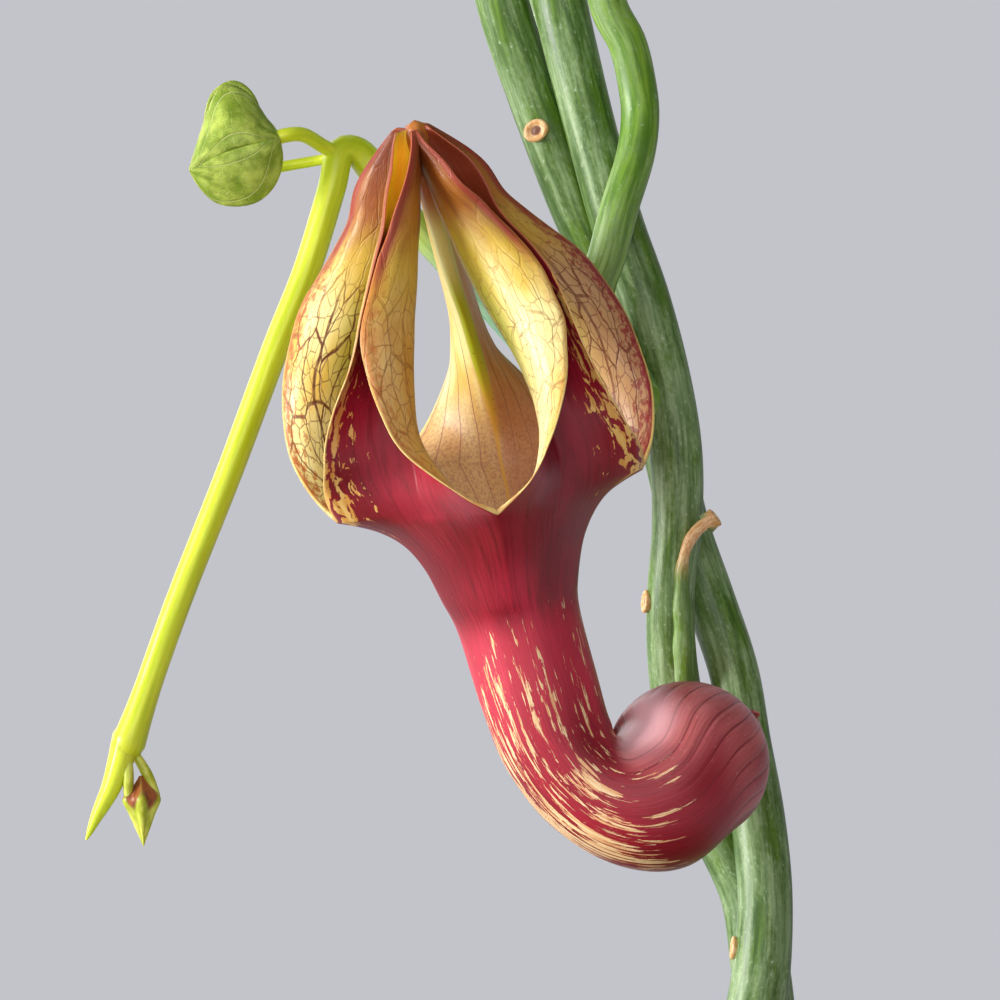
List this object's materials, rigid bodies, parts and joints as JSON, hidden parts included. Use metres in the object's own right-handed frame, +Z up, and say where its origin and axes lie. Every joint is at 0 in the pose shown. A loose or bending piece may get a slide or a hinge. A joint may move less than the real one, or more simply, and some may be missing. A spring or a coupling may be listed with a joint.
{
  "type": "potted climbing lantern-flower vine",
  "caption": "Twining vine in a plain clay pot, with a lantern-shaped crimson and yellow flower, a lime-green hooked shoot and heart-shaped leaves.",
  "frame": {"origin": "middle of the pot's base, on the surface that it stands on", "axes": "+Z up, the flower in front towards -Y, +X to the right"},
  "size_m": [0.072, 0.072, 0.1751],
  "materials": {
    "clay": "matt fired clay",
    "soil": "loose bark and grit",
    "old_stem": "satin, with waxy grey-green patches",
    "lime_shoot": "satin, smooth",
    "bud": "satin",
    "corolla": "satin, crimson with cream streaks, yellow netted lobes",
    "calyx": "satin",
    "green_shoot": "satin",
    "young_leaf": "soft satin",
    "leaf": "satin, veined"
  },
  "bodies": {
    "root": {"pot": "clay", "soil": "soil", "left_stem": "old_stem", "right_stem": "old_stem", "lime_shoot": "lime_shoot", "bud": "bud", "corolla": "corolla", "calyx": "calyx", "low_shoot_left": "green_shoot", "low_shoot_back": "green_shoot", "young_leaf_front": "young_leaf", "young_leaf_behind": "young_leaf", "leaf_high_right": "leaf", "leaf_high_left": "leaf", "leaf_mid_front": "leaf", "leaf_mid_back": "leaf", "leaf_top_right": "leaf", "leaf_top_left": "leaf", "leaf_branch_right": "leaf", "leaf_branch_back": "leaf", "leaf_low_right": "leaf", "leaf_low_left": "leaf", "leaf_left_front": "leaf", "leaf_left_back": "leaf", "leaf_left_tip": "leaf", "leaf_back_side": "leaf", "leaf_back_far": "leaf", "leaf_back_tip": "leaf"}
  },
  "joints": []
}
